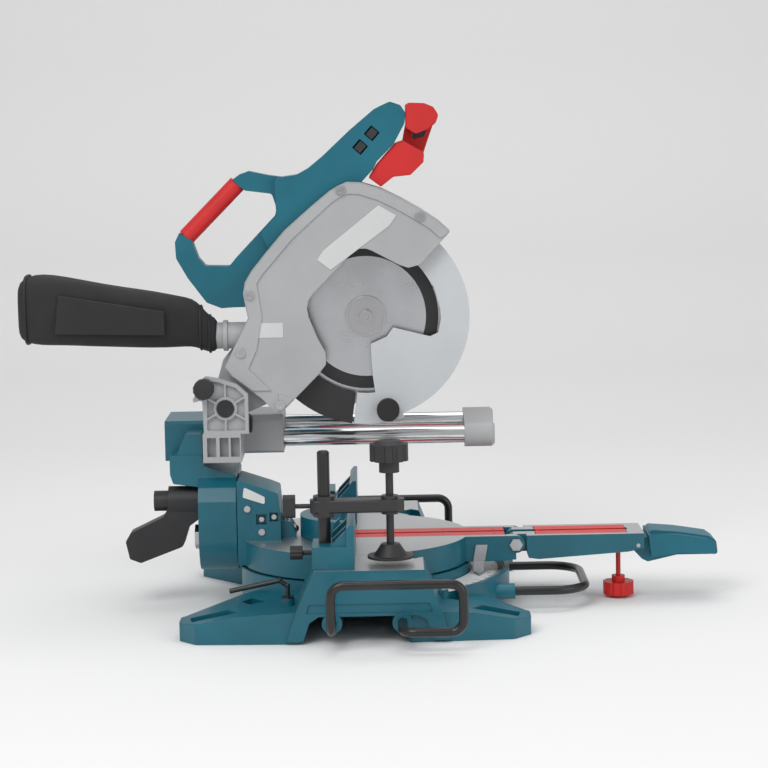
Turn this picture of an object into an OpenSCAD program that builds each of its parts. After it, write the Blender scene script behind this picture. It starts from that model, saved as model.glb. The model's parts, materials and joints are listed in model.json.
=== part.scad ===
// Sliding compound mitre saw. +X is the operator's side, +Z is up,
// the origin is on the turntable axis at bench level. Millimetres.

/* [Blade] */
// Diameter over the carbide tips
blade_d = 255; // [250:1:256]
// Plate thickness of the blade
blade_t = 2.8; // [2.2:0.2:3.2]
// Number of teeth
teeth = 40; // [24:4:60]

/* [Table] */
// Height of the work surface above the bench
table_h = 95; // [94:1:96]
// Radius of the turntable
table_r = 155; // [150:1:155]
// Width of the kerf slot between the boards
kerf_w = 9; // [8:1:12]
// Spacing of the bench bolts along X
bolt_x = 390; // [380:1:396]
// Spacing of the bench bolts along Y
bolt_y = 436; // [430:1:440]
// Diameter of the bench bolt holes
bolt_d = 9; // [6:0.5:10]

/* [Rails] */
// Diameter of the slide rails
rail_d = 24; // [20:1:25]
// Radial clearance of the linear bushes
bush_gap = 0.05; // [0.02:0.01:0.1]

/* [Side supports] */
// Diameter of the support rods
rod_d = 12; // [10:0.5:12]
// How far the side loops stand out from the centre line
loop_y = 320; // [310:1:330]

/* [Hidden] */
$fn = 64;

blue = [0.03, 0.36, 0.44];
red = [0.9, 0.08, 0.07];
grey = [0.78, 0.78, 0.79];
steel = [0.7, 0.7, 0.72];
dark = [0.12, 0.12, 0.13];

// arbor, head pivot and motor axes in the X-Z plane
arb = [20, 396];
piv = [-172, 278];
mot = [-70, 470];
// rail axes as [Y, Z]
rail_a = [56, 223];
rail_b = [110, 236];
rr = rail_d / 2;
rod = rod_d / 2;

// ---------- helpers ----------
function _u(v) = v / norm(v);
function _cor(a, b, c, r, n) = let(
   u = _u(a - b), v = _u(c - b), g = acos(max(-1, min(1, u * v))),
   t = r / tan(g / 2), p = b + u * t, q = b + v * t,
   m = b + _u(u + v) * r / sin(g / 2),
   a1 = atan2(p.y - m.y, p.x - m.x), a2 = atan2(q.y - m.y, q.x - m.x),
   d = a2 - a1 > 180 ? a2 - a1 - 360 : (a2 - a1 < -180 ? a2 - a1 + 360 : a2 - a1))
   [for (i = [0:n]) m + r * [cos(a1 + d * i / n), sin(a1 + d * i / n)]];
// rounds every corner of a polygon; a third number on a point overrides the radius
function fil(p, r = 3, n = 4) = let(m = len(p)) [for (i = [0:m - 1]) let(
   A = p[(i + m - 1) % m], B = p[i], C = p[(i + 1) % m], k = len(B) > 2 ? B[2] : r)
   each (k > 0 ? _cor([A.x, A.y], [B.x, B.y], [C.x, C.y], k, n) : [[B.x, B.y]])];
function arc(c, r, a, b, n) = [for (i = [0:n]) c + r * [cos(a + (b - a) * i / n), sin(a + (b - a) * i / n)]];

module xz(y0, y1) { translate([0, y1, 0]) rotate([90, 0, 0]) linear_extrude(y1 - y0) children(); }
module yz(x0, x1) { translate([x0, 0, 0]) rotate([90, 0, 90]) linear_extrude(x1 - x0) children(); }
module xy(z0, z1) { translate([0, 0, z0]) linear_extrude(z1 - z0) children(); }
module ycyl(c, y0, y1, r) { translate([c.x, y1, c.y]) rotate([90, 0, 0]) cylinder(r = r, h = y1 - y0); }
module xcyl(y, z, x0, x1, r) { translate([x0, y, z]) rotate([0, 90, 0]) cylinder(r = r, h = x1 - x0); }
module zcyl(x, y, z0, z1, r) { translate([x, y, z0]) cylinder(r = r, h = z1 - z0); }
module box(x0, x1, y0, y1, z0, z1) { translate([x0, y0, z0]) cube([x1 - x0, y1 - y0, z1 - z0]); }
module both() { children(); mirror([0, 1, 0]) children(); }
// straight bar between two points
module bar(p, q, r) {
  v = q - p; l = norm(v);
  translate(p) rotate([0, acos(v.z / l), atan2(v.y, v.x)]) cylinder(r = r, h = l);
}
// quarter bend at corner c, from direction a to direction b
module elbow(c, a, b, rb, r) {
  e1 = -b; e2 = -a; e3 = cross(e1, e2); m = c + rb * (a + b);
  multmatrix([[e1.x, e2.x, e3.x, m.x], [e1.y, e2.y, e3.y, m.y], [e1.z, e2.z, e3.z, m.z], [0, 0, 0, 1]])
    rotate_extrude(angle = 90) translate([rb, 0]) circle(r = r, $fn = 32);
}
module scallop(n, r, d) {
  difference() { circle(r = r); for (i = [0:n - 1]) rotate(i * 360 / n) translate([r + d * 0.45, 0]) circle(r = d, $fn = 24); }
}

// ---------- base ----------
module foot_side(s) {
  // s = 1 front, -1 rear; near side, mirrored for the other
  intersection() {
    scale1(s) xy(0, 44) polygon(fil([[70, -258], [204, -250, 6], [227, -224, 6], [227, -192, 5], [160, -120, 8], [130, -90, 1], [70, -100, 1]], 3));
    scale1(s) xz(-270, -60) polygon(fil([[60, -1, 0], [240, -1, 0], [240, 23, 0], [222, 24, 4], [152, 36, 6], [60, 42, 0]], 2));
  }
}
module scale1(s) { if (s > 0) children(); else mirror([1, 0, 0]) children(); }
module foot_pocket(s) {
  scale1(s) {
    xy(9, 50) polygon(fil([[210, -232, 3], [214, -204, 3], [166, -196, 3], [150, -226, 3]], 3));
    zcyl(bolt_x / 2, -bolt_y / 2, -1, 20, bolt_d / 2);
    xy(14, 50) polygon(fil([[138, -180], [150, -160], [136, -140], [118, -170]], 3));
  }
}
module wing() {
  // side table with its flared front and rear walls
  xz(-262, -100) polygon(fil([[-52, table_h, 2], [90, table_h, 2], [112, 40, 3], [122, 4, 0], [100, 4, 0], [92, 30, 3], [80, 36, 3], [-46, 36, 3], [-58, 28, 3], [-66, 4, 0], [-88, 4, 0], [-76, 40, 3]], 2));
}
module base_casting() color(blue) {
  difference() {
    union() {
      zcyl(0, 0, 12, 58, 158);
      both() {
        wing();
        foot_side(1); foot_side(-1);
        // guide bosses of the side rods
        for (x = [-29, 61]) ycyl([x, 27], -264, -150, 13);
        // ribs from the ring to the feet
        xz(-160, -150) polygon([[-120, 8], [-60, 8], [-60, 45], [-110, 36]]);
        xz(-160, -150) polygon([[120, 8], [60, 8], [60, 45], [110, 36]]);
        // post boss for the stored key
        zcyl(-87, -205, 20, 50, 9);
      }
      // front apron that carries the mitre scale
      intersection() {
        union() { zcyl(0, 0, 38, 45, 211); difference() { zcyl(0, 0, 14, 49, 211); zcyl(0, 0, 10, 60, 204); } }
        xy(0, 60) polygon([[60, 0], [110, -176], [220, -176], [220, 176], [110, 176]]);
      }
      // ears that take the front bar
      both() xcyl(86, 28, 130, 214, 10.5);
    }
    // pan under the turntable
    difference() { zcyl(0, 0, 22, 60, 150); zcyl(0, 0, 0, 58, 26); both() box(-152, 152, 5, 15, 0, 44); box(-6, 6, -152, 152, 0, 44); }
    zcyl(0, 0, 11, 23, 60);
    zcyl(0, 0, 0, 70, 8);
    zcyl(0, 0, 58, 100, table_r + 0.8);
    // hollow under each side table
    both() {
      difference() {
        xz(-254, -162) polygon([[-42, 83], [80, 83], [101, 38], [106, -2], [-70, -2], [-66, 38]]);
        for (x = [-29, 61]) ycyl([x, 27], -270, -140, 13);
        box(12, 18, -260, -150, 40, 90);
      }
      // recessed band on the outer panel
      difference() { xz(-264, -260) polygon(fil([[-62, 40], [100, 40], [96, 52], [-58, 52]], 2)); for (x = [-29, 61]) ycyl([x, 27], -270, -140, 13); }
      foot_pocket(1); foot_pocket(-1);
      // rod bores
      for (x = [-29, 61]) ycyl([x, 27], -270, -146, rod + 0.05);
      xcyl(86, 28, 165, 220, rod);
      for (x = [-29, 61]) zcyl(x, -240, 20, 80, 3);
    }
    zcyl(-87, -205, 30, 60, 3.3);
    // room for the arm at both ends of its swing
    for (a = [-45, 45]) rotate(a) box(80, 235, -47, 47, 59, 100);
    rotate(-45) box(154, 188, -77, -36, 46.5, 100);
    rotate(45) box(154, 188, 36, 77, 46.5, 100);
    zcyl(0, 0, -1, 12, 140);
  }
}
module turntable_pivot_bolt() color(steel) {
  zcyl(0, 0, 16, 71, 8);
  translate([0, 0, 12]) cylinder(r = 14, h = 10, $fn = 6);
  zcyl(0, 0, 70.4, 74, 14);
}
module mitre_scale() color([0.93, 0.93, 0.9]) {
  difference() {
    intersection() {
      xy(45, 46) polygon([[60, 0], [114, -98], [114, -168], [214, -168], [214, 168], [114, 168], [114, 98]]);
      zcyl(0, 0, 40, 50, 203.5);
    }
    zcyl(0, 0, 40, 50, 160);
  }
}
module fence() color(blue) {
  difference() {
    union() {
      both() {
        // face plate
        xz(-252, -75) polygon(fil([[-9, 95, 0], [1, 95, 0], [1, 112, 0], [-9, 112, 0]], 0));
        // end boss that holds the clamp post
        box(-53, -9, -252, -188, 95, 124);
        for (y = [-100, -140, -180]) xz(y - 4, y + 4) polygon([[-9, 95], [-30, 95], [-26, 102], [-9, 112]]);
        box(-16, -8, -100, -75, 95, 112);
      }
      // left face stands to full height
      xz(-252, -75) polygon(fil([[-9, 110, 0], [1, 110, 0], [1, 152, 1], [-4, 152, 2], [-9, 146, 2]], 0));
      for (y = [-90, -150, -205, -244]) xz(y - 4, y + 4) polygon([[-9, 108], [-32, 108], [-28, 126], [-9, 144]]);
      box(-34, -9, -252, -75, 100, 110);
      // bow behind the blade
      difference() {
        zcyl(0, 0, 95, 124, 76);
        zcyl(0, 0, 90, 130, 60);
        box(-10, 90, -90, 90, 80, 140);
      }
      both() box(-18, -2, -84, -60, 95, 118);
      // foot strips of the far side
      box(-34, -9, 75, 252, 100, 108);
    }
    zcyl(0, 0, 90, 95.7, 157);
    zcyl(-37, -215, 98, 130, 8);
      // room for the sliding upper part on the right
    box(-32, 5, 80, 330, 112.05, 160);
    // kerf gap
    box(-20, 20, -58, 58, 90, 160);
    xcyl(-215, 111, -60, -40, 3.05);
    // tapered inner end of the tall face
    xz(-100, -70) polygon([[-20, 128], [-20, 160], [10, 160], [10, 128]]);
  }
}
module upper_fence() color(blue) {
  difference() {
    union() {
      xz(84, 240) polygon(fil([[-9, 112.5, 0], [1, 112.5, 0], [1, 152, 1], [-4, 152, 2], [-9, 146, 2]], 0));
      for (y = [100, 150, 200]) xz(y - 4, y + 4) polygon([[-9, 112.5], [-30, 112.5], [-26, 126], [-9, 144]]);
      box(-30, -9, 90, 236, 112.5, 117);
    }
    xz(80, 100) polygon([[-20, 130], [-20, 160], [10, 160], [10, 130]]);
  }
}
module side_loop() {
  p = [[-29, -150, 27], [-29, -loop_y, 27], [-29, -loop_y, 88], [137, -loop_y, 88], [137, -loop_y, 27], [61, -loop_y, 27], [61, -150, 27]];
  b = 16;
  X = [1, 0, 0]; Y = [0, 1, 0]; Z = [0, 0, 1];
  bar(p[0], p[1] + b * Y, rod); elbow(p[1], Y, Z, b, rod);
  bar(p[1] + b * Z, p[2] - b * Z, rod); elbow(p[2], -Z, X, b, rod);
  bar(p[2] + b * X, p[3] - b * X, rod); elbow(p[3], -X, -Z, b, rod);
  bar(p[3] - b * Z, p[4] + b * Z, rod); elbow(p[4], Z, -X, b, rod);
  bar(p[4] - b * X, p[5] + b * X, rod); elbow(p[5], X, Y, b, rod);
  bar(p[5] + b * Y, p[6], rod);
}
module side_bar_left() color(dark) side_loop();
module side_bar_right() color(dark) mirror([0, 1, 0]) side_loop();
module front_bar() color(dark) {
  X = [1, 0, 0]; Y = [0, 1, 0]; b = 44;
  bar([166, -86, 28], [312 - b, -86, 28], rod); elbow([312, -86, 28], -X, Y, b, rod);
  bar([312, -86 + b, 28], [312, 86 - b, 28], rod); elbow([312, 86, 28], -Y, -X, b, rod);
  bar([312 - b, 86, 28], [166, 86, 28], rod);
}
module bar_lock_screws() color(steel) both() for (x = [-29, 61]) {
  zcyl(x, -240, 34, 56, 3);
  translate([x, -240, 52]) cylinder(r = 6, h = 5, $fn = 6);
}
module hex_key() color(dark) {
  p = [[-162, -205, 60], [-97, -205, 73], [-87, -205, 66], [-87, -205, 31]];
  bar(p[0], p[1], 3.2); bar(p[1], p[2], 3.2); bar(p[2], p[3], 3.2);
  translate(p[1]) sphere(r = 3.7, $fn = 24); translate(p[2]) sphere(r = 3.7, $fn = 24);
  zcyl(-87, -205, 50, 52.5, 8);
}

// ---------- clamp ----------
module clamp_post() color(dark) { zcyl(-37, -215, 98, 241, 8); translate([-37, -215, 241]) cylinder(r1 = 8, r2 = 6, h = 2); }
module post_knob() color(dark) {
  xcyl(-215, 111, -66, -45.5, 3);
  translate([-82, -215, 111]) rotate([0, 90, 0]) linear_extrude(16) scallop(8, 9, 2);
}
module clamp_arm() color(dark) difference() {
  union() {
    yz(-55, 66) polygon(fil([[-228, 163], [-202, 163], [-202, 180], [-228, 180]], 3));
    zcyl(-37, -215, 158, 185, 14);
    zcyl(47.5, -215, 160, 184, 11);
  }
  zcyl(-37, -215, 150, 190, 8.08);
  zcyl(47.5, -215, 150, 190, 5.05);
  xcyl(-215, 171.5, -60, -44, 3.05);
  // chamfered ends
  translate([66, -228, 150]) rotate([0, 0, 45]) cube([12, 12, 70], center = true);
  translate([66, -202, 150]) rotate([0, 0, 45]) cube([12, 12, 70], center = true);
  translate([-55, -228, 150]) rotate([0, 0, 45]) cube([10, 10, 70], center = true);
  translate([-55, -202, 150]) rotate([0, 0, 45]) cube([10, 10, 70], center = true);
}
module clamp_wing_screw() color(dark) {
  xcyl(-215, 171.5, -74, -46, 3);
  yz(-90, -74) polygon(fil([[-221, 156.5], [-209, 156.5], [-209, 186.5], [-221, 186.5]], 5));
}
module clamp_spindle() color(dark) {
  zcyl(47.5, -215, 112, 232, 5);
  zcyl(47.5, -215, 214, 230, 13);
  translate([47.5, -215, 229]) linear_extrude(22) scallop(10, 25, 4);
  translate([47.5, -215, 251]) cylinder(r1 = 21, r2 = 15, h = 4);
}
module clamp_pad() color(dark) difference() {
  union() {
    zcyl(47.5, -215, 103, 106, 30);
    translate([47.5, -215, 106]) cylinder(r1 = 22, r2 = 12, h = 15);
  }
  zcyl(47.5, -215, 112, 130, 5);
}

// ---------- turntable ----------
module turntable() color(blue) difference() {
  union() {
    zcyl(0, 0, 60.3, table_h, table_r);
    box(90, 205, -40, 40, 60.3, table_h);
    // hinge cheeks at the end of the arm
    both() {
      box(180, 219, -40, -27, 62, table_h);
      ycyl([219, 83], -40, -27, 12);
      xz(-40, -27) polygon([[190, 62], [205, 60.3], [213, 66], [231, 83], [219, 95], [190, 95]]);
    }
    // rear block that carries the bevel bearing
    xz(-45, 45) polygon(fil([[-160, 62, 0], [-160, 180, 3], [-116, 165, 3], [-104, 160, 3], [-101, 124, 4], [-101, 95, 0], [-60, 90, 0], [-100, 62, 0]], 2));
    xz(-24, 24) polygon(fil([[-110, 90, 0], [-110, 120, 0], [-90, 118, 3], [-82, 104, 3], [-82, 90, 0]], 2));
  }
  // underside
  difference() {
    zcyl(0, 0, 55, 84, table_r - 8);
    zcyl(0, 0, 50, 90, 26);
    both() box(-160, 200, 14, 24, 50, 90);
    rotate(90) both() box(-160, 160, 40, 47, 50, 90);
    box(-200, -96, -60, 60, 50, 100);
  }
  box(120, 202, -14, 14, 50, 84);
  both() box(120, 200, 24.1, 33, 50, 84);
  zcyl(0, 0, 55, 70.2, 8.05);
  zcyl(0, 0, 70, 84, 14.5);
  // recess for the boards and the dust trench
  box(-66, 206, -30.2, 30.2, table_h - 3, table_h + 1);
  box(-62, 206, -8, 8, 74, table_h + 1);
  // bevel bearing
  xcyl(0, 95, -170, -100, 10);
  // square pockets on the left flank
  box(-134, -120, -50, -38, 118, 132);
  box(-116, -104, -50, -38, 122, 134);
  xcyl(0, 146, -170, -130, 6);
  box(-170, -150, -24, 24, 138, 154);
}
module kerf_boards() color(red) difference() {
  both() box(-65, 204.5, kerf_w / 2, 30, table_h - 3, table_h);
  for (x = [-50, 40, 120, 190]) both() zcyl(x, 18, 90, 100, 1.6);
}
module bevel_scale() color([0.85, 0.85, 0.85]) {
  xz(-46.5, -45) polygon(fil([[-152, 156], [-122, 146], [-122, 156], [-150, 170]], 2));
}
module turntable_bolts() color(steel) {
  // pointer over the mitre scale
  xz(-44, -40) polygon(fil([[160, 62], [176, 62], [180, 84], [164, 84]], 1));
  xy(48, 49.5) polygon([[160, -51], [174, -51], [167, -70]]);
  box(160, 174, -52, -40, 48, 63);
  both() { ycyl([219, 83], -43, -12, 5); translate([219, -40, 83]) rotate([90, 0, 0]) cylinder(r = 9, h = 5, $fn = 6); }
  for (p = [[-146, 140], [-127, 108]]) ycyl(p, -48, -40, 4.5);
  for (p = [[-127, 125], [-110, 128]]) ycyl(p, -44, -37.9, 3.5);
  translate([-84, 0, 104]) sphere(r = 6, $fn = 24);
  zcyl(-96, -14, 112, 126, 4); zcyl(-96, 14, 112, 126, 4);
}
module arm_extension() color(blue) difference() {
  union() {
    box(219, 240, -26, 26, 71, table_h);
    ycyl([219, 83], -26, 26, 12);
    xz(-40, 40) polygon([[233.5, 95], [394, 95], [394, 74], [372, 70], [250, 62], [236, 64], [233.5, 80]]);
  }
  box(246, 372, -30.2, 30.2, table_h - 3, table_h + 1);
  box(200, 374, -8, 8, 84, table_h + 1);
  // underside hollow
  box(250, 372, -34, -12, 50, 84); box(250, 372, 12, 34, 50, 84);
  ycyl([219, 83], -27, 27, 5.05);
  // slot for the lever
  box(376, 400, -27, 27, 50, 88);
  ycyl([386, 78], -41, 41, 3);
  zcyl(362, 0, 50, 82, 3.3);
}
module lever_pin() color(steel) ycyl([386, 78], -39, 39, 3);
module extension_boards() color(red) both() box(247, 371.5, kerf_w / 2, 30, table_h - 3, table_h);
module foot_screw() color(red) {
  zcyl(362, 0, 14, 80, 3.25);
  translate([362, 0, 4]) linear_extrude(18) scallop(12, 21, 2.6);
  zcyl(362, 0, 22, 30, 9);
  zcyl(362, 0, 2, 4, 14);
}
module mitre_lever() color(blue) difference() {
  union() {
    xz(-26, 26) polygon(fil([[380, 86, 0], [380, 70, 3], [392, 57, 6], [400, 53, 4], [440, 62, 8], [496, 62, 3], [494, 80, 4], [484, 87, 4], [440, 94, 4], [405, 97, 4], [399, 87, 2]], 2));
    xz(-38, 38) polygon(fil([[400, 92, 2], [404, 60, 2], [440, 66, 6], [494, 64, 3], [492, 78, 4], [482, 85, 4], [440, 92, 3]], 2));
  }
  ycyl([386, 78], -41, 41, 3.08);
  xz(-20, 20) polygon(fil([[408, 50, 0], [408, 82], [440, 84], [484, 78], [486, 50, 0]], 3));
}

// ---------- bevel arm ----------
module bevel_arm() color(blue) difference() {
  union() {
    yz(-213, -161) polygon(fil([[-45, 95, 0], [-45, 150, 4], [-34, 168, 5], [-20, 180, 4], [96, 181, 4], [84, 150, 6], [45, 110, 6], [45, 95, 0]], 3));
    xcyl(0, 95, -213, -161, 45);
    xz(-20, 100) polygon(fil([[-252, 211, 0], [-207, 211, 0], [-207, 197, 3], [-162, 182, 2], [-162, 160, 0], [-248, 172, 3], [-252, 185, 3]], 2));
    difference() {
      box(-262, -207, 28, 136, 197, 252);
      translate([-262, 28, 252]) rotate([45, 0, 0]) cube([200, 5, 5], center = true);
      translate([-262, 136, 252]) rotate([45, 0, 0]) cube([200, 5, 5], center = true);
    }
    xz(-18, 34) polygon(fil([[-252, 190], [-207, 190], [-207, 240], [-230, 240]], 3));
  }
  xcyl(rail_a.x, rail_a.y, -255, -200, rr);
  xcyl(rail_b.x, rail_b.y, -255, -200, rr);
  xcyl(0, 95, -220, -160, 10.05);
  // stud of the bevel lock
  xcyl(0, 146, -220, -160, 5.06);
  // rear weight relief
  box(-214, -180, 52, 80, 120, 170);
}
module bevel_pivot_bolt() color(steel) {
  xcyl(0, 95, -221, -104, 10);
  translate([-221, 0, 95]) rotate([0, 90, 0]) cylinder(r = 17, h = 7.6, $fn = 6);
}
module bevel_lock_lever() color(dark) {
  xcyl(0, 146, -254, -161.6, 5);
  xcyl(0, 146, -256, -214, 20);
  xcyl(0, 146, -276, -256, 14);
  xz(-15, 15) polygon(fil([[-254, 162], [-214, 160], [-214, 122, 3], [-228, 112, 8], [-237, 84, 8], [-296, 62, 4], [-311, 68, 4], [-316, 92, 4], [-309, 104, 5], [-262, 126, 14], [-254, 146]], 3));
}
module slide_rails() color([0.8, 0.8, 0.82]) {
  xcyl(rail_a.x, rail_a.y, -255, 190, rr);
  xcyl(rail_b.x, rail_b.y, -255, 190, rr);
}
module rail_cap() color(grey) difference() {
  union() {
    for (a = [rail_a, rail_b]) { xcyl(a.x, a.y, 154, 192, 17.5); translate([192, a.x, a.y]) rotate([0, 90, 0]) cylinder(r1 = 17.5, r2 = 14, h = 4); }
    yz(154, 194) polygon(fil([[56, 206], [114, 219], [110, 253], [52, 240]], 3));
  }
  xcyl(rail_a.x, rail_a.y, 150, 190, rr);
  xcyl(rail_b.x, rail_b.y, 150, 190, rr);
  box(160, 182, 80, 86, 200, 222);
}

// ---------- carriage ----------
module cheek(r) {
  polygon(fil([[-200, 322], [-181, 319], [-156, 311], [-141, 297], [-141, 243, 0], [-202, 243, 0], [-203, 290], [-215, 287, 1], [-216, 292], [-206, 300]], r));
}
module carriage() color(grey) difference() {
  union() {
    difference() {
      xz(-46, -35) cheek(3);
      // lightening pockets between the ribs
      xz(-47, -40) difference() {
        polygon(fil([[-196, 316], [-181, 314], [-158, 306], [-146, 294], [-146, 248], [-197, 248]], 2));
        translate([piv.x, piv.y]) { circle(r = 16); for (a = [90, 270, 30, 150, -30, -150]) rotate(a) translate([0, -1.5]) square([70, 3]); }
        translate([-200, 306]) circle(r = 12);
      }
    }
    box(-204, -152, -46, 40, 204, 243);
    xz(37, 49) polygon(fil([[-200, 240, 0], [-200, 296, 6], [-184, 306, 6], [-160, 306, 6], [-146, 290, 6], [-146, 240, 0]], 4));
    // block that runs on the rails
    yz(-205, -98) polygon(fil([[37, 204], [126, 204], [131, 212], [131, 252], [124, 258], [44, 258], [37, 250]], 4));
    ycyl(piv, 34, 52, 19);
  }
  xcyl(rail_a.x, rail_a.y, -210, -90, 15.5);
  xcyl(rail_b.x, rail_b.y, -210, -90, 15.5);
  ycyl(piv, -50, 55, 9);
  ycyl([-200, 306], -50, -30, 5.05);
  // square openings under the left cheek
  for (x = [-198, -181, -166]) box(x, x + 12, -50, -32, 212, 238);
  box(-192, -160, -28, 30, 200, 236);
  ycyl([-150, 228], 120, 140, 4.05);
}
module rail_bushes() color([0.55, 0.5, 0.35]) for (a = [rail_a, rail_b], x = [-204, -128]) difference() {
  xcyl(a.x, a.y, x, x + 29, 15.5);
  xcyl(a.x, a.y, x - 1, x + 30, rr + bush_gap);
}
module pivot_pin() color(dark) {
  ycyl(piv, -46, 52, 9);
  ycyl(piv, -48, -46, 12);
}
module carriage_bumper() color(dark) xz(-33, -12) polygon(fil([[-152, 243, 0], [-138, 243, 0], [-137, 262, 3], [-143, 268, 3], [-151, 256, 3]], 2));
module slide_lock_knob() color(dark) {
  ycyl([-150, 228], 123, 142, 4);
  translate([-150, 160, 228]) rotate([90, 0, 0]) linear_extrude(22) scallop(8, 17, 3);
}
module transport_pin() color(dark) {
  ycyl([-200, 306], -48, -36, 5);
  translate([-200, -47, 306]) rotate([90, 0, 0]) linear_extrude(16) scallop(14, 14, 1.4);
}

// ---------- head ----------
// outer edge of the blade housing, front top round to the rear bottom
GA = [[136, 511], [120, 526], [96, 542], [72, 556], [44, 570], [16, 579], [-2, 580], [-14, 575], [-26, 568], [-52, 547], [-88, 516], [-114, 486], [-133, 463], [-142, 448], [-145, 432], [-142, 414], [-139, 399], [-150, 378], [-164, 350], [-173, 333], [-163, 320], [-124, 290], [-106, 271], [-98, 270]];
// edge of the opening through which the blade shows
GB = [[-91, 275], [-46, 320], [-35, 334], [-35, 350], [-46, 371], [-57, 399], [-59, 410], [-57, 421], [-50, 431], [4, 485], [12, 490], [22, 490], [30, 487], [67, 467], [79, 463], [95, 467]];
function pull(p, c, d) = [for (q = p) q + _u(c - q) * d];
module cavity() polygon(concat(pull(GA, [0, 420], 4.5), [[-70, 240], [150, 260], [230, 400], [190, 500]]));
module upper_guard() color(grey) {
  difference() {
    xz(-34, 8) polygon(fil(concat(GA, GB), 2, 2));
    xz(-31, 9) cavity();
    xz(-4, 12) pivot_arm();
  }
  // raised band along the top edge
  difference() {
    xz(-36, -34) polygon(concat(pull(GA, [0, 420], 1.5), [[-80, 288], [-110, 300]], [[-140, 330], [-128, 356], [-120, 400], [-124, 432]], pull([for (i = [13:-1:0]) GA[i]], [0, 420], 16)));
    box(-200, -100, -40, -30, 250, 300);
  }
}
module guard_screws() color(steel) for (p = [[-10, 569], [96, 532], [-136, 430], [-98, 280], [-150, 352]])
  difference() { ycyl(p, -38.5, -34, 6.5); translate([p.x, -38.5, p.y]) rotate([90, 0, 0]) cylinder(r = 3, h = 4, center = true, $fn = 6); }
module pivot_arm() polygon(fil([[-192, 286, 8], [-184, 262, 8], [-160, 260, 8], [-104, 284, 0], [-90, 330, 0], [-150, 372, 0], [-176, 340, 6]], 4));
module head_casting() color(grey) difference() {
  union() {
    xz(8, 12) polygon(concat(GA, [[-60, 300], [-20, 330], [20, 352], [60, 376], [72, 430], [95, 467]]));
    // neck on which the swinging guard turns
    ycyl(arb, 3, 12, 36);
    // arm down to the pivot
    xz(-4, 12) pivot_arm();
    ycyl(piv, -34, 12, 21);
    ycyl(piv, 12, 33.6, 16.2);
    // belt case
    ycyl(arb, 12, 34, 29); ycyl(mot, 12, 34, 31);
    xz(12, 34) polygon([arb + 29 * _n, arb - 29 * _n, mot - 31 * _n, mot + 31 * _n]);
  }
  // inside of the belt case
  ycyl(arb, 20, 35, 26); ycyl(mot, 20, 35, 28);
  xz(20, 35) polygon([arb + 26 * _n, arb - 26 * _n, mot - 28 * _n, mot + 28 * _n]);
  ycyl(arb, 2, 36, 17.5);
  ycyl(mot, 7, 36, 13);
  ycyl(piv, -40, 40, 9.05);
}
_n = let(d = _u(mot - arb)) [-d.y, d.x];
module belt_cover() color(dark) difference() {
  union() { ycyl(arb, 34, 36.5, 29); ycyl(mot, 34, 36.5, 31); xz(34, 36.5) polygon([arb + 29 * _n, arb - 29 * _n, mot - 31 * _n, mot + 31 * _n]); }
  ycyl(mot, 30, 40, 8);
}
module drive_belt() color(dark) difference() {
  union() { ycyl(arb, 23, 31, 24); ycyl(mot, 23, 31, 17); xz(23, 31) polygon([arb + 24 * _n, arb - 24 * _n, mot - 17 * _n, mot + 17 * _n]); }
  ycyl(arb, 22, 32, 22.3); ycyl(mot, 22, 32, 15.3); xz(22, 32) polygon([arb + 22.3 * _n, arb - 22.3 * _n, mot - 15.3 * _n, mot + 15.3 * _n]);
}
module ring(c, y0, y1, ro, ri) difference() { ycyl(c, y0, y1, ro); ycyl(c, y0 - 1, y1 + 1, ri); }
module bearings() color(steel) {
  ring(arb, 3.5, 10.5, 17.5, 10.05); ring(arb, 12.5, 19.5, 17.5, 10.05);
  ring(mot, 12, 19.5, 13, 5.05); ring(mot, 176, 183, 11, 5.05);
}
module head_spring() color(steel) {
  // torsion coil round the pivot hub
  n = 84; turns = 6; R = 17.5; w = 1.4; k = 6;
  pts = [for (i = [0:n], j = [0:k - 1]) let(a = 360 * turns * i / n, b = 360 * j / k)
    [piv.x + (R + w * cos(b)) * cos(a), 13.6 + 17 * i / n + w * sin(b), piv.y + (R + w * cos(b)) * sin(a)]];
  polyhedron(pts, concat([[for (j = [k - 1:-1:0]) j]], [[for (j = [0:k - 1]) n * k + j]],
    [for (i = [0:n - 1], j = [0:k - 1]) let(a = i * k + j, b = i * k + (j + 1) % k) [a, b, b + k, a + k]]), 4);
}
module dust_boot() color(dark) difference() {
  xz(-15, 8) polygon(concat(arc(arb, 147, 218, 261.5, 14), arc(arb, 104, 261.5, 218, 14)));
  xz(-13, 6) polygon(concat(arc(arb, 145, 214, 264, 14), arc(arb, 100, 264, 214, 14)));
}
// handle outline, outside and the grip opening
HA = [[30, 590], [39, 606], [62, 629], [77, 656], [79, 670], [72, 681], [58, 686], [46, 681], [36, 676], [2, 648], [-35, 614], [-55, 598], [-70, 590], [-87, 587], [-120, 594]];
HD = [[-87, 587], [-108, 590], [-135, 596], [-147, 592], [-157, 585, 0], [-147, 575, 0], [-140, 570], [-104, 565], [-98, 546], [-100, 536], [-155, 479], [-164, 468], [-197, 469], [-206, 480], [-211, 494], [-214, 504, 0], [-231, 514, 0], [-237, 502], [-236, 480], [-221, 453], [-196, 419], [-176, 411], [-159, 412], [-140, 412, 0], [-128, 462, 0], [-40, 560, 0], [-60, 590]];
module handle_outline() union() {
  polygon(fil([[34, 596, 0], [39, 606], [62, 629], [77, 656], [79, 670], [72, 681], [58, 686], [46, 681], [36, 676], [2, 648], [-35, 614], [-55, 598], [-70, 590], [-100, 586], [-98, 536], [-120, 512], [-100, 470], [0, 560, 0]], 5, 3));
}
module handle_loop() polygon(fil(HD, 5, 3));
module in_guard() polygon(concat(GA, [[60, 440]]));
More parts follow.
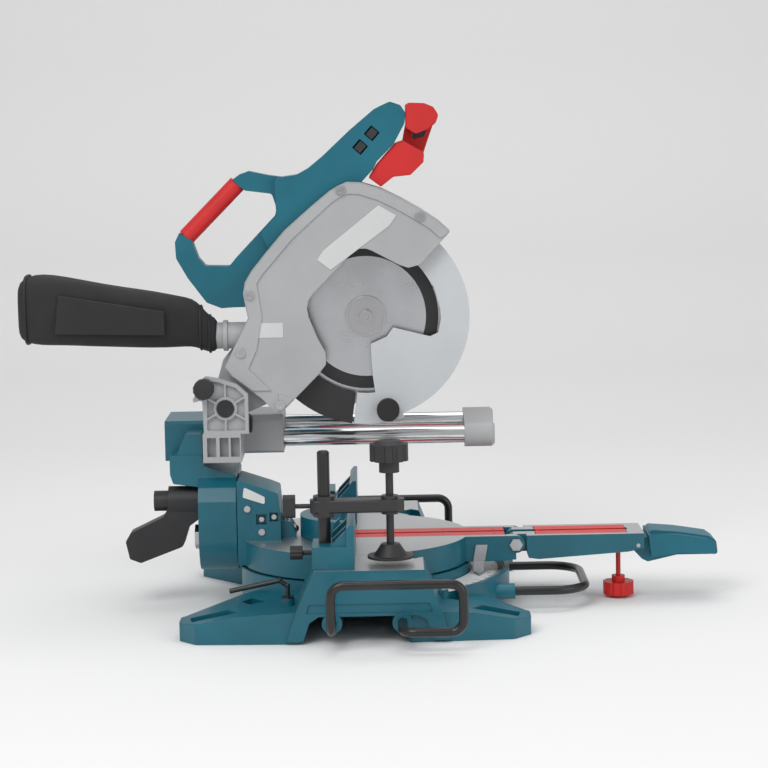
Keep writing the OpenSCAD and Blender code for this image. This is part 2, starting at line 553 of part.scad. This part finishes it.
module handle_shell_left() color(blue) difference() {
  union() { xz(-20, 6) handle_outline(); xz(-8, 6) handle_loop(); }
  xz(-50, 50) in_guard();
  // room for the switch
  xz(-17, 7) polygon([[10, 596], [36, 612], [56, 636], [64, 662], [50, 672], [0, 632], [-30, 604]]);
  for (p = [[33, 644], [17, 626]]) translate([p.x, -16, p.y]) rotate([0, -48, 0]) cube([15, 12, 15], center = true);
}
module handle_shell_right() color(blue) difference() {
  union() { xz(6, 32) handle_outline(); xz(6, 18) handle_loop(); }
  xz(-50, 50) in_guard();
  xz(5, 29) polygon([[10, 596], [36, 612], [56, 636], [64, 662], [50, 672], [0, 632], [-30, 604]]);
}
module carry_grip() color(red) {
  p = [-151, 5, 579]; q = [-222, 5, 508];
  bar(p, q, 12);
}
module main_grip() color(red) difference() {
  union() {
    xz(-22, 96) polygon(fil([[79.3, 681, 0], [84, 684], [104, 683, 6], [116, 678, 6], [123, 667, 7], [119, 656, 6], [108, 648, 4], [92, 642, 3], [79.3, 650, 0]], 3));
    xz(-16, 96) polygon(fil([[64, 629, 0], [76, 633], [103, 617, 5], [102, 604, 4], [84, 587, 4], [61, 585, 3], [44, 572, 2], [28, 584, 0], [38, 600, 0]], 3));
    xz(84, 96) polygon([[79.3, 655], [79.3, 672], [120, 660], [103, 612], [74, 628]]);
  }
  // slot for the trigger
  box(86, 108, 14, 66, 640, 668);
  xz(-50, 50) handle_outline();
  xz(-50, 50) in_guard();
}
module trigger() color(dark) xz(14.5, 65.5) polygon(fil([[88, 634, 3], [104, 638, 3], [107, 646, 2], [106, 656, 0], [88, 656, 0]], 2));
module rocker(p) color(dark) translate([p.x, -18.5, p.y]) rotate([0, -48, 0]) cube([13, 6, 11], center = true);
module rocker_upper() rocker([33, 644]);
module rocker_lower() rocker([17, 626]);
module motor_housing() color(blue) difference() {
  union() {
    ycyl(mot, 37, 150, 50);
    ycyl(mot, 36.5, 42, 38);
  }
  ycyl(mot, 43, 151, 46);
  ycyl(mot, 30, 60, 8);
  for (i = [0:11]) translate([mot.x, 0, mot.y]) rotate([0, i * 30, 0]) box(44, 52, 128, 142, -3, 3);
}
module motor_end_cap() color(dark) difference() {
  union() { ycyl(mot, 150, 176, 50); translate([mot.x, 176, mot.y]) rotate([-90, 0, 0]) cylinder(r1 = 50, r2 = 34, h = 16); }
  ycyl(mot, 149, 172, 46);
  translate([mot.x, 172, mot.y]) rotate([-90, 0, 0]) cylinder(r1 = 44, r2 = 30, h = 16);
  for (i = [0:9]) translate([mot.x, 0, mot.y]) rotate([0, i * 36, 0]) box(43, 53, 154, 168, -3.5, 3.5);
}
module motor_stator() color([0.45, 0.3, 0.2]) { ring(mot, 66, 118, 46, 33); ring(mot, 176, 182, 37, 11); }
module dust_chute() color(grey) difference() {
  union() { xcyl(-10, 374, -196, -130, 18); xcyl(-10, 374, -174, -168, 21); }
  xcyl(-10, 374, -197, -141, 15.5);
  xz(-50, 50) polygon(GA);
}
module bag_slab(x, z0, z1, h) translate([x, -10, (z0 + z1) / 2]) rotate([0, 90, 0]) linear_extrude(1) offset(r = 10, $fn = 16) square([z1 - z0 - 20, 2 * h - 20], center = true);
module dust_bag() color(dark) difference() {
  union() {
    hull() { bag_slab(-449, 374, 450, 34); bag_slab(-432, 364, 463, 42); bag_slab(-215, 358, 430, 38); }
    hull() { bag_slab(-215, 358, 430, 38); bag_slab(-192, 350, 406, 28); bag_slab(-178, 351, 397, 23); }
  }
  xcyl(-10, 374, -196, -160, 18);
  xz(-60, 60) polygon(GA);
}

// ---------- blade and its guard ----------
module lg_near() {
  polygon(concat(arc(arb, 141, -73, 62, 27), arc(arb, 101, 62, 44, 4),
    [[113, 435], [121, 406], [122, 392], [118, 373], [107, 368], [95, 371], [57, 381], [48, 369], [26, 359], [26, 348], [28, 315], [31, 292], [34, 271]]));
}
module lower_guard() color([0.9, 0.9, 0.9]) {
  xz(-15, -12.5) lg_near();
  difference() {
    xz(-15, 7) polygon(concat(arc(arb, 141, -73, 62, 27), arc(arb, 137.5, 62, -73, 27)));
  }
  difference() {
    xz(5, 7) union() { polygon(concat(arc(arb, 141, -73, 62, 27), arc(arb, 40, 62, -73, 12))); translate(arb) circle(r = 48); }
    ycyl(arb, 0, 10, 36.08);
  }
  // trailing flap
  difference() {
    xz(-15, 7) polygon(concat(arc(arb, 147, 262.5, 279, 6), arc(arb, 104, 279, 262.5, 6)));
    xz(-13, 5) polygon(concat(arc(arb, 145, 260, 282, 6), arc(arb, 100, 282, 260, 6)));
    xz(-16, 8) polygon(concat(arc(arb, 150, 284, 287.5, 2), arc(arb, 90, 287.5, 284, 2)));
  }
  // link from the flap to the plates
  xz(-15, -12.5) polygon(concat(arc(arb, 147, 277, 290, 4), arc(arb, 125, 290, 277, 4)));
  xz(5, 7) polygon(concat(arc(arb, 141, 277, 290, 4), arc(arb, 110, 290, 277, 4)));
  // roller
  ycyl([48, 269], -28, -15, 15.5);
}
module saw_blade() color([0.82, 0.82, 0.84]) difference() {
  xz(-blade_t / 2, blade_t / 2) difference() {
    translate(arb) union() {
      polygon([for (i = [0:teeth - 1]) let(a = -i * 360 / teeth, s = 360 / teeth, R = blade_d / 2) each [
        R * [cos(a), sin(a)], (R - 1.5) * [cos(a - 0.32 * s), sin(a - 0.32 * s)],
        (R - 7) * [cos(a - 0.5 * s), sin(a - 0.5 * s)], (R - 9) * [cos(a - 0.72 * s), sin(a - 0.72 * s)], (R - 7) * [cos(a - 0.9 * s), sin(a - 0.9 * s)]]]);
    }
    translate(arb) { circle(r = 15); for (i = [0:3]) rotate(i * 90 + 20) translate([112, 0]) rotate(-20) square([34, 1.2], center = true); }
  }
}
module spindle() color([0.35, 0.35, 0.37]) {
  difference() {
    union() {
      ycyl(arb, 1.4, 34 - 0.3, 10);
      ycyl(arb, 22, 33, 22);
      ycyl(arb, 1.4, 2.7, 29);
      ycyl(arb, -1.4, 1.4, 15);
    }
    ycyl(arb, -2, 14, 5);
  }
  difference() { ycyl(arb, -6, -1.4, 28); ycyl(arb, -7, 0, 5); translate([arb.x, -6, arb.y]) rotate([90, 0, 0]) cylinder(r = 24, h = 1.6, center = true); }
  ycyl(arb, -12, 13, 4.95);
  difference() { ycyl(arb, -14, -5.2, 9); translate([arb.x, -13, arb.y]) rotate([90, 0, 0]) cylinder(r = 4.5, h = 6, center = true, $fn = 6); }
}
module armature() color([0.5, 0.32, 0.2]) {
  ycyl(mot, 12.5, 184, 5);
  ycyl(mot, 22, 33, 15);
  ycyl(mot, 68, 116, 32);
  ycyl(mot, 140, 158, 13);
  xz(46, 56) translate(mot) { circle(r = 12); for (i = [0:8]) rotate(i * 40) translate([0, -1]) square([38, 2]); difference() { circle(r = 40); circle(r = 37); } }
}

base_casting();
turntable_pivot_bolt();
mitre_scale();
fence();
front_bar();
bar_lock_screws();
hex_key();
clamp_post();
side_bar_left();
side_bar_right();
upper_fence();
post_knob();
clamp_arm();
clamp_wing_screw();
clamp_spindle();
clamp_pad();
turntable();
kerf_boards();
bevel_scale();
turntable_bolts();
arm_extension();
extension_boards();
lever_pin();
foot_screw();
mitre_lever();
bevel_arm();
bevel_pivot_bolt();
slide_rails();
rail_cap();
bevel_lock_lever();
carriage();
rail_bushes();
pivot_pin();
carriage_bumper();
slide_lock_knob();
transport_pin();
head_casting();
upper_guard();
guard_screws();
dust_boot();
handle_shell_left();
handle_shell_right();
carry_grip();
main_grip();
motor_housing();
motor_end_cap();
motor_stator();
bearings();
drive_belt();
belt_cover();
head_spring();
dust_chute();
dust_bag();
trigger();
rocker_upper();
rocker_lower();
lower_guard();
saw_blade();
spindle();
armature();
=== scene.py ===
import bpy, bmesh, math, json
from mathutils import Vector, Matrix, noise


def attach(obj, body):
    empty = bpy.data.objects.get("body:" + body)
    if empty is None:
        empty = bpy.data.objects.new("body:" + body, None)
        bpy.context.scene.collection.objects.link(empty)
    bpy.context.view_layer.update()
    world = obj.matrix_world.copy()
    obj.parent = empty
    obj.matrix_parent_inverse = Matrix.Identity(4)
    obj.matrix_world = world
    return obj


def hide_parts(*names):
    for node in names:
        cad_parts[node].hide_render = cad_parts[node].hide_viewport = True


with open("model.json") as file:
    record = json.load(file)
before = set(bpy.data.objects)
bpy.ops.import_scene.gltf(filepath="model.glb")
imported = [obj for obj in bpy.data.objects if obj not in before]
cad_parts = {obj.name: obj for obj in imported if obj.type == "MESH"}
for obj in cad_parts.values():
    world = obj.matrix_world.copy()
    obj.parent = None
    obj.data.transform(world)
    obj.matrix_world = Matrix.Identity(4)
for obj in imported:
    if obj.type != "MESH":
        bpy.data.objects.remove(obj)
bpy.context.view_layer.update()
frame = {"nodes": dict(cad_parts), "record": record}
N = frame["nodes"]


# ---------------------------------------------------------------- materials
def mat(name, col, rough=0.5, metal=0.0, bump=0.15, scale=900.0, vary=0.08, bevel=0.0012, kind="noise", coat=0.0, col2=None):
    m = bpy.data.materials.new(name)
    m.use_nodes = True
    t = m.node_tree
    L = t.links
    b = t.nodes["Principled BSDF"]
    tc = t.nodes.new("ShaderNodeTexCoord")
    big = t.nodes.new("ShaderNodeTexNoise")
    big.inputs["Scale"].default_value = 14.0
    big.inputs["Detail"].default_value = 5.0
    L.new(tc.outputs["Object"], big.inputs["Vector"])
    ramp = t.nodes.new("ShaderNodeValToRGB")
    lo = tuple(c * (1 - vary) for c in col)
    hi = tuple(min(1.0, c * (1 + vary) + vary * 0.01) for c in col)
    if col2:
        lo, hi = col, col2
    ramp.color_ramp.elements[0].color = lo + (1,)
    ramp.color_ramp.elements[1].color = hi + (1,)
    ramp.color_ramp.elements[0].position = 0.35
    ramp.color_ramp.elements[1].position = 0.65
    L.new(big.outputs["Fac"], ramp.inputs["Fac"])
    L.new(ramp.outputs["Color"], b.inputs["Base Color"])
    rr = t.nodes.new("ShaderNodeMapRange")
    rr.inputs["To Min"].default_value = max(0.03, rough - 0.08)
    rr.inputs["To Max"].default_value = min(1.0, rough + 0.08)
    L.new(big.outputs["Fac"], rr.inputs["Value"])
    L.new(rr.outputs["Result"], b.inputs["Roughness"])
    b.inputs["Metallic"].default_value = metal
    if "Coat Weight" in b.inputs:
        b.inputs["Coat Weight"].default_value = coat
        b.inputs["Coat Roughness"].default_value = 0.25
    if kind == "weave":
        w1 = t.nodes.new("ShaderNodeTexWave"); w2 = t.nodes.new("ShaderNodeTexWave")
        w1.bands_direction = "X"; w2.bands_direction = "Z"
        for w in (w1, w2):
            w.inputs["Scale"].default_value = scale
            w.inputs["Distortion"].default_value = 0.4
            L.new(tc.outputs["Object"], w.inputs["Vector"])
        mx = t.nodes.new("ShaderNodeMath"); mx.operation = "MAXIMUM"
        L.new(w1.outputs["Fac"], mx.inputs[0]); L.new(w2.outputs["Fac"], mx.inputs[1])
        src = mx.outputs[0]
        mc = t.nodes.new("ShaderNodeMixRGB")
        mc.inputs["Color1"].default_value = (0.004, 0.004, 0.004, 1)
        L.new(src, mc.inputs["Fac"]); L.new(ramp.outputs["Color"], mc.inputs["Color2"])
        L.new(mc.outputs["Color"], b.inputs["Base Color"])
    elif kind == "brushed":
        mp = t.nodes.new("ShaderNodeMapping")
        mp.inputs["Scale"].default_value = (1.0, 40.0, 40.0)
        L.new(tc.outputs["Object"], mp.inputs["Vector"])
        n = t.nodes.new("ShaderNodeTexNoise"); n.inputs["Scale"].default_value = scale * 0.1
        L.new(mp.outputs["Vector"], n.inputs["Vector"]); src = n.outputs["Fac"]
    else:
        n = t.nodes.new("ShaderNodeTexNoise"); n.inputs["Scale"].default_value = scale
        n.inputs["Detail"].default_value = 3.0
        L.new(tc.outputs["Object"], n.inputs["Vector"]); src = n.outputs["Fac"]
    bp = t.nodes.new("ShaderNodeBump")
    bp.inputs["Strength"].default_value = bump
    bp.inputs["Distance"].default_value = 0.0004
    L.new(src, bp.inputs["Height"])
    if bevel:
        bv = t.nodes.new("ShaderNodeBevel"); bv.samples = 4
        bv.inputs["Radius"].default_value = bevel
        L.new(bv.outputs["Normal"], bp.inputs["Normal"])
    L.new(bp.outputs["Normal"], b.inputs["Normal"])
    return m


def blade_mat():
    m = mat("blade_face", (0.55, 0.56, 0.58), 0.28, 1.0, 0.12, 900, 0.06, 0.0, "noise")
    t = m.node_tree; L = t.links
    b = t.nodes["Principled BSDF"]
    tc = t.nodes.new("ShaderNodeTexCoord")
    sub = t.nodes.new("ShaderNodeVectorMath"); sub.operation = "SUBTRACT"
    sub.inputs[1].default_value = (0.020, 0, 0.396)
    L.new(tc.outputs["Object"], sub.inputs[0])
    mul = t.nodes.new("ShaderNodeVectorMath"); mul.operation = "MULTIPLY"; mul.inputs[1].default_value = (1, 0, 1)
    L.new(sub.outputs[0], mul.inputs[0])
    ln = t.nodes.new("ShaderNodeVectorMath"); ln.operation = "LENGTH"
    L.new(mul.outputs[0], ln.inputs[0])
    r1 = t.nodes.new("ShaderNodeMath"); r1.operation = "GREATER_THAN"; r1.inputs[1].default_value = 0.082
    r2 = t.nodes.new("ShaderNodeMath"); r2.operation = "LESS_THAN"; r2.inputs[1].default_value = 0.099
    L.new(ln.outputs["Value"], r1.inputs[0]); L.new(ln.outputs["Value"], r2.inputs[0])
    a = t.nodes.new("ShaderNodeMath"); a.operation = "MULTIPLY"
    L.new(r1.outputs[0], a.inputs[0]); L.new(r2.outputs[0], a.inputs[1])
    mx = t.nodes.new("ShaderNodeMixRGB"); mx.inputs["Color2"].default_value = (0.02, 0.02, 0.022, 1)
    old = b.inputs["Base Color"].links[0].from_socket
    L.new(a.outputs[0], mx.inputs["Fac"]); L.new(old, mx.inputs["Color1"])
    L.new(mx.outputs["Color"], b.inputs["Base Color"])
    inv = t.nodes.new("ShaderNodeMath"); inv.operation = "SUBTRACT"; inv.inputs[0].default_value = 1.0
    L.new(a.outputs[0], inv.inputs[1]); L.new(inv.outputs[0], b.inputs["Metallic"])
    return m


def table_mat():
    # painted casting whose flat working faces are machined bare
    m = mat("table_casting", (0.0, 0.115, 0.165), 0.42, 0.0, 0.35, 700, 0.12, 0.0014, "noise", 0.2)
    t = m.node_tree; L = t.links
    b = t.nodes["Principled BSDF"]
    g = t.nodes.new("ShaderNodeNewGeometry"); sx = t.nodes.new("ShaderNodeSeparateXYZ")
    L.new(g.outputs["True Normal"], sx.inputs[0])
    tc = t.nodes.new("ShaderNodeTexCoord"); sz = t.nodes.new("ShaderNodeSeparateXYZ")
    L.new(tc.outputs["Object"], sz.inputs[0])
    a = t.nodes.new("ShaderNodeMath"); a.operation = "GREATER_THAN"; a.inputs[1].default_value = 0.98
    c = t.nodes.new("ShaderNodeMath"); c.operation = "GREATER_THAN"; c.inputs[1].default_value = 0.0945
    d = t.nodes.new("ShaderNodeMath"); d.operation = "LESS_THAN"; d.inputs[1].default_value = 0.0955
    L.new(sx.outputs["Z"], a.inputs[0]); L.new(sz.outputs["Z"], c.inputs[0]); L.new(sz.outputs["Z"], d.inputs[0])
    e = t.nodes.new("ShaderNodeMath"); e.operation = "MULTIPLY"; f = t.nodes.new("ShaderNodeMath"); f.operation = "MULTIPLY"
    L.new(a.outputs[0], e.inputs[0]); L.new(c.outputs[0], e.inputs[1])
    L.new(e.outputs[0], f.inputs[0]); L.new(d.outputs[0], f.inputs[1])
    mx = t.nodes.new("ShaderNodeMixRGB"); mx.inputs["Color2"].default_value = (0.55, 0.56, 0.57, 1)
    old = b.inputs["Base Color"].links[0].from_socket
    L.new(f.outputs[0], mx.inputs["Fac"]); L.new(old, mx.inputs["Color1"]); L.new(mx.outputs["Color"], b.inputs["Base Color"])
    L.new(f.outputs[0], b.inputs["Metallic"])
    return m


M = {
    "blue_paint": table_mat(),
    "grey_paint": mat("grey_paint", (0.40, 0.41, 0.42), 0.42, 0.0, 0.35, 800, 0.04, 0.0015, "noise", 0.15),
    "black_paint": mat("black_paint", (0.018, 0.018, 0.02), 0.38, 0.0, 0.3, 800, 0.2, 0.001, "noise", 0.2),
    "steel": mat("steel", (0.50, 0.50, 0.52), 0.3, 1.0, 0.1, 900, 0.06, 0.0006, "brushed"),
    "rail_chrome": mat("rail_chrome", (0.72, 0.73, 0.74), 0.12, 1.0, 0.03, 900, 0.03, 0.0006, "brushed"),
    "blade_steel": blade_mat(),
    "black_rod": mat("black_rod", (0.02, 0.02, 0.022), 0.32, 0.3, 0.1, 900, 0.2, 0.0006, "noise", 0.2),
    "scale_plate": mat("scale_plate", (0.75, 0.75, 0.74), 0.4, 0.2, 0.05, 500, 0.03, 0.0003),
    "bronze": mat("bronze", (0.45, 0.3, 0.13), 0.35, 1.0, 0.1, 900, 0.1),
    "copper": mat("copper", (0.45, 0.2, 0.1), 0.4, 1.0, 0.3, 900, 0.15),
    "black_plastic": mat("black_plastic", (0.02, 0.02, 0.022), 0.48, 0.0, 0.4, 1600, 0.2, 0.0012),
    "blue_plastic": mat("blue_plastic", (0.0, 0.125, 0.18), 0.42, 0.0, 0.35, 1600, 0.08, 0.0018),
    "grey_plastic": mat("grey_plastic", (0.36, 0.37, 0.38), 0.45, 0.0, 0.3, 1600, 0.06, 0.001),
    "guard_plastic": mat("guard_plastic", (0.55, 0.57, 0.59), 0.35, 0.0, 0.1, 1200, 0.03, 0.001, "noise", 0.2),
    "red_plastic": mat("red_plastic", (0.62, 0.012, 0.01), 0.4, 0.0, 0.3, 1600, 0.08, 0.0008),
    "red_grip": mat("red_grip", (0.60, 0.012, 0.012), 0.5, 0.0, 0.6, 1100, 0.08, 0.003),
    "rubber": mat("rubber", (0.015, 0.015, 0.015), 0.7, 0.0, 0.4, 900, 0.2),
    "bag_fabric": mat("bag_fabric", (0.03, 0.03, 0.032), 0.85, 0.0, 0.9, 260, 0.25, 0.0, "weave"),
}
slots = {s["node"]: s["material_slot"] for s in frame["record"]["subparts"]}
for name, ob in N.items():
    ob.data.materials.clear()
    ob.data.materials.append(M[slots[name]])
# the guard roller is black rubber on the pale guard
lg = N["lower_guard"].data
lg.materials.append(M["rubber"])
for p in lg.polygons:
    c = p.center
    if c.y < -0.0152 and abs(c.x - 0.048) < 0.017 and abs(c.z - 0.269) < 0.017: p.material_index = 1
PATCH = mat("bag_patch", (0.012, 0.012, 0.013), 0.6, 0.0, 0.3, 900, 0.2, 0.0)
LABEL = mat("plain_label", (0.62, 0.63, 0.63), 0.3, 0.0, 0.03, 500, 0.02, 0.0)


def piece(name, verts, faces, m, body, smooth=False):
    me = bpy.data.meshes.new(name)
    me.from_pydata([tuple(v) for v in verts], [], faces)
    me.validate(); me.update()
    bm = bmesh.new(); bm.from_mesh(me); bmesh.ops.recalc_face_normals(bm, faces=bm.faces); bm.to_mesh(me); bm.free()
    if smooth:
        for p in me.polygons: p.use_smooth = True
    o = bpy.data.objects.new(name, me)
    bpy.context.scene.collection.objects.link(o)
    me.materials.append(m)
    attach(o, body)
    return o


def prism(name, pts, y0, y1, m, body, bevel=0.0006):
    # outline in X-Z, mm
    n = len(pts)
    v = [Vector((x / 1000, y0 / 1000, z / 1000)) for x, z in pts] + [Vector((x / 1000, y1 / 1000, z / 1000)) for x, z in pts]
    f = [tuple(range(n)), tuple(range(2 * n - 1, n - 1, -1))] + [(i, i + n, (i + 1) % n + n, (i + 1) % n) for i in range(n)]
    o = piece(name, v, f, m, body)
    b = o.modifiers.new("b", "BEVEL"); b.width = bevel; b.segments = 2; b.limit_method = "ANGLE"
    return o


# ---------------------------------------------------------------- dust bag
def bag():
    # stations along X: x, z bottom, z top, half width
    st = [(-450, 383, 444, 26), (-447, 374, 454, 36), (-438, 368, 461, 41), (-420, 364, 464, 44), (-390, 363, 460, 45), (-350, 361, 452, 44),
          (-310, 359, 445, 43), (-270, 358, 438, 41), (-235, 359, 431, 38), (-216, 360, 427, 35), (-204, 355, 416, 29), (-197, 352, 407, 26), (-192, 351, 403, 25), (-180, 352, 397, 23)]
    K = 48
    vs, fs = [], []
    for i, (x, z0, z1, h) in enumerate(st):
        zc, hz = (z0 + z1) / 2, (z1 - z0) / 2
        for k in range(K):
            a = 2 * math.pi * k / K
            e = 0.55 if x < -205 else 0.8
            cy = math.copysign(abs(math.cos(a)) ** e, math.cos(a)); cz = math.copysign(abs(math.sin(a)) ** e, math.sin(a))
            p = Vector((x, -10 + h * cy, zc + hz * cz))
            w = noise.noise(Vector((x * 0.018, cy * 1.6, cz * 1.6))) * 3.2 * (1 if -440 < x < -210 else 0.1)
            n = Vector((0, cy, cz)).normalized()
            p -= n * (1.2 + abs(w) + (1.4 * math.exp(-((x + 330) / 60) ** 2)))
            vs.append(p / 1000)
    for i in range(len(st) - 1):
        for k in range(K):
            fs.append((i * K + k, i * K + (k + 1) % K, (i + 1) * K + (k + 1) % K, (i + 1) * K + k))
    fs.append(tuple(range(K)))
    fs.append(tuple(reversed(range((len(st) - 1) * K, len(st) * K))))
    o = piece("dust_bag_cloth", vs, fs, M["bag_fabric"], "head", True)
    s = o.modifiers.new("s", "SUBSURF"); s.levels = 1; s.render_levels = 1
    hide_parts("dust_bag")
    # piped rear seam and neck binding
    for nm, idx, r in (("bag_rear_piping", 2, 2.2), ("bag_neck_binding", 10, 1.8), ("bag_cuff_band", 12, 1.6)):
        x, z0, z1, h = st[idx]
        zc, hz = (z0 + z1) / 2, (z1 - z0) / 2
        vv, ff = [], []
        for k in range(K):
            a = 2 * math.pi * k / K
            e = 0.55 if x < -205 else 0.8
            cy = math.copysign(abs(math.cos(a)) ** e, math.cos(a)); cz = math.copysign(abs(math.sin(a)) ** e, math.sin(a))
            c = Vector((x, -10 + (h - 1.0) * cy, zc + (hz - 1.0) * cz)); n = Vector((0, cy, cz)).normalized()
            for j in range(8):
                b = 2 * math.pi * j / 8
                vv.append((c + n * math.cos(b) * r + Vector((1, 0, 0)) * math.sin(b) * r) / 1000)
        for k in range(K):
            for j in range(8):
                ff.append((k * 8 + j, k * 8 + (j + 1) % 8, ((k + 1) % K) * 8 + (j + 1) % 8, ((k + 1) % K) * 8 + j))
        piece(nm, vv, ff, PATCH, "head", True)
    prism("bag_side_patch", [(-392, 436), (-398, 384), (-250, 380), (-250, 412)], -56.0, -52.5, PATCH, "head", 0.001)


bag()

# plain plates where the real machine carries printed ones
prism("guard_side_plate", [(-44, 476), (-36, 488), (40, 548), (64, 534), (54, 520), (-26, 462)], -35.2, -34.0, LABEL, "head", 0.0005)
prism("guard_small_plate", [(-128, 372), (-92, 372), (-92, 392), (-128, 392)], -34.8, -34.0, LABEL, "head", 0.0003)


# mitre scale graduations
def ticks():
    v, f = [], []
    for d in range(-50, 51):
        L = 12 if d % 5 == 0 else 7
        if d % 15 == 0: L = 17
        a = math.radians(d); r1, r0 = 202, 202 - L
        u = Vector((math.cos(a), math.sin(a), 0)); w = Vector((-math.sin(a), math.cos(a), 0)) * 0.35
        b = len(v)
        for z in (46.0, 46.25):
            for p in (u * r0 - w, u * r1 - w, u * r1 + w, u * r0 + w):
                v.append(Vector((p.x, p.y, z)) / 1000)
        f += [(b, b + 1, b + 2, b + 3), (b + 7, b + 6, b + 5, b + 4)] + [(b + i, b + (i + 1) % 4, b + 4 + (i + 1) % 4, b + 4 + i) for i in range(4)]
    piece("mitre_graduations", v, f, PATCH, "base")


ticks()

# ---------------------------------------------------------------- stage
def floor():
    me = bpy.data.meshes.new("floor")
    v, f = [], []
    pr = [(-3.0, 0.0), (1.6, 0.0), (2.2, 0.06), (2.7, 0.3), (3.0, 0.8), (3.1, 3.5)]
    for y, z in pr: v += [(-5, y, z), (5, y, z)]
    for i in range(len(pr) - 1): f.append((2 * i, 2 * i + 1, 2 * i + 3, 2 * i + 2))
    me.from_pydata(v, [], f); me.update()
    for p in me.polygons: p.use_smooth = True
    o = bpy.data.objects.new("floor", me); bpy.context.scene.collection.objects.link(o)
    m = bpy.data.materials.new("paper"); m.use_nodes = True
    b = m.node_tree.nodes["Principled BSDF"]; b.inputs["Base Color"].default_value = (0.9, 0.9, 0.9, 1); b.inputs["Roughness"].default_value = 0.8
    me.materials.append(m)


floor()
sc = bpy.context.scene
w = bpy.data.worlds.new("w"); sc.world = w; w.use_nodes = True
w.node_tree.nodes["Background"].inputs["Color"].default_value = (1, 1, 1, 1)
w.node_tree.nodes["Background"].inputs["Strength"].default_value = 0.5


def area(name, loc, size, power, to=(0, 0, 0.3)):
    l = bpy.data.lights.new(name, "AREA"); l.size = size; l.energy = power
    o = bpy.data.objects.new(name, l); o.location = loc
    o.rotation_euler = (Vector(to) - Vector(loc)).to_track_quat("-Z", "Y").to_euler()
    sc.collection.objects.link(o)


area("key", (-1.0, -2.2, 2.4), 1.6, 38)
area("fill", (2.2, -1.8, 1.2), 1.8, 16)
area("top", (0.2, 0.4, 2.8), 2.0, 20)

cam = bpy.data.cameras.new("cam"); co = bpy.data.objects.new("cam", cam); sc.collection.objects.link(co)
cam.lens = 109.5; cam.sensor_width = 36; cam.clip_end = 50
tgt = Vector((0.043, 0, 0.302)); e = math.radians(6.8)
co.location = tgt + Vector((0, -math.cos(e), math.sin(e))) * 3.2
q = (tgt - co.location).to_track_quat("-Z", "Y").to_matrix().to_4x4()
co.matrix_world = Matrix.Translation(co.location) @ q @ Matrix.Rotation(math.radians(-1.1), 4, "Z")
sc.camera = co
sc.view_settings.view_transform = "Standard"
